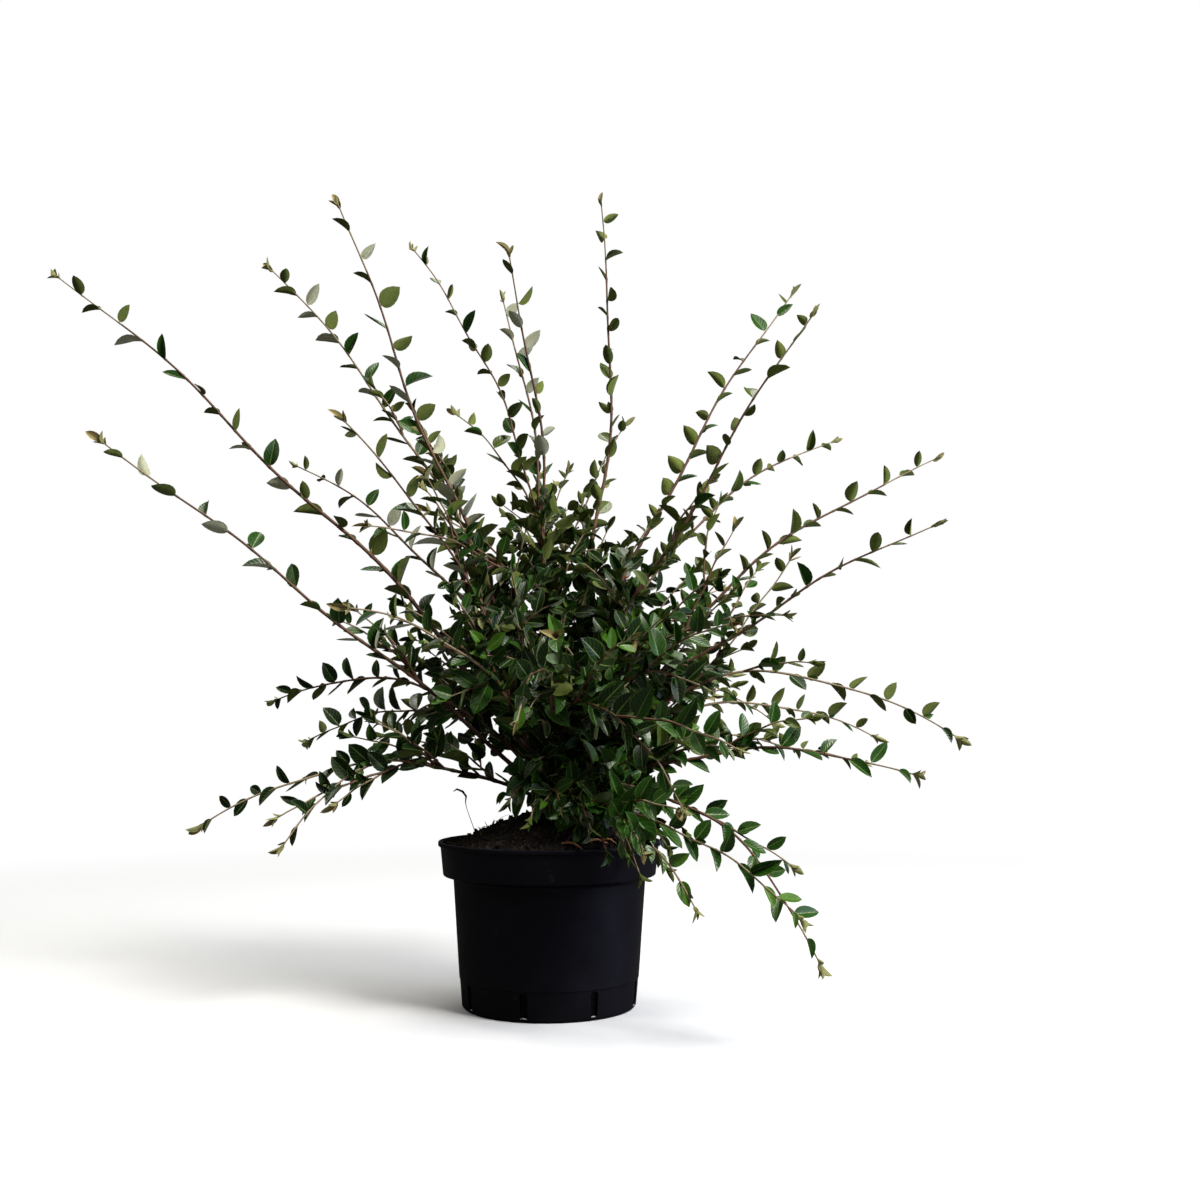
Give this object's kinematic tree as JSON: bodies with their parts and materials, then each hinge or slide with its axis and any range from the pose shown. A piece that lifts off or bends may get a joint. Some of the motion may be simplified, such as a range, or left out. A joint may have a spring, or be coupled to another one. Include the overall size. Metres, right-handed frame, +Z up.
{
  "type": "potted franchet cotoneaster",
  "caption": "Young evergreen shrub with arching leafy shoots that spread from one short stem, growing in a round black nursery pot.",
  "frame": {"origin": "middle of the pot's flat underside", "axes": "+Z up along the pot's axis, +X to the viewer's right, -Y towards the viewer"},
  "size_m": [0.8042, 0.5776, 0.72],
  "materials": {
    "pot": "near-black satin polypropylene with light scuffs",
    "compost": "moist crumbly bark and peat compost",
    "bark": "smooth red-brown young bark, downy and tan towards the tips",
    "foliage": "glossy dark green upper sides, pale sage-grey undersides"
  },
  "bodies": {
    "root": {"pot": "pot", "compost": "compost", "stem": "bark", "bough_left_low": "bark", "bough_left_back_low": "bark", "bough_left_front": "bark", "bough_left_long": "bark", "bough_left_back_high": "bark", "bough_left_tall": "bark", "bough_left_top": "bark", "bough_left_front_high": "bark", "bough_front_middle": "bark", "bough_front_drooping": "bark", "bough_front_right": "bark", "bough_right_drooping": "bark", "bough_right_front": "bark", "bough_right_low": "bark", "bough_right_front_tall": "bark", "bough_right_middle": "bark", "bough_right_arching": "bark", "bough_right_long": "bark", "bough_right_tall": "bark", "bough_right_back_high": "bark", "bough_right_back_low": "bark", "bough_back_right": "bark", "bough_back_low": "bark", "bough_back_high": "bark", "bough_back_left": "bark", "bough_centre_back": "bark", "bough_centre_front": "bark", "bough_top": "bark", "leaves_left_low": "foliage", "leaves_left_back_low": "foliage", "leaves_left_front": "foliage", "leaves_left_long": "foliage", "leaves_left_back_high": "foliage", "leaves_left_tall": "foliage", "leaves_left_top": "foliage", "leaves_left_front_high": "foliage", "leaves_left_arching": "foliage", "leaves_front_middle": "foliage", "leaves_front_drooping": "foliage", "leaves_front_right": "foliage", "leaves_right_drooping": "foliage", "leaves_right_front": "foliage", "leaves_right_low": "foliage", "leaves_right_front_tall": "foliage", "leaves_right_middle": "foliage", "leaves_right_arching": "foliage", "leaves_right_long": "foliage", "leaves_right_tall": "foliage", "leaves_right_back_high": "foliage", "leaves_right_back_low": "foliage", "leaves_back_right": "foliage", "leaves_back_low": "foliage", "leaves_back_high": "foliage", "leaves_back_left": "foliage", "leaves_centre_back": "foliage", "leaves_centre_front": "foliage", "leaves_top": "foliage"}
  },
  "joints": []
}
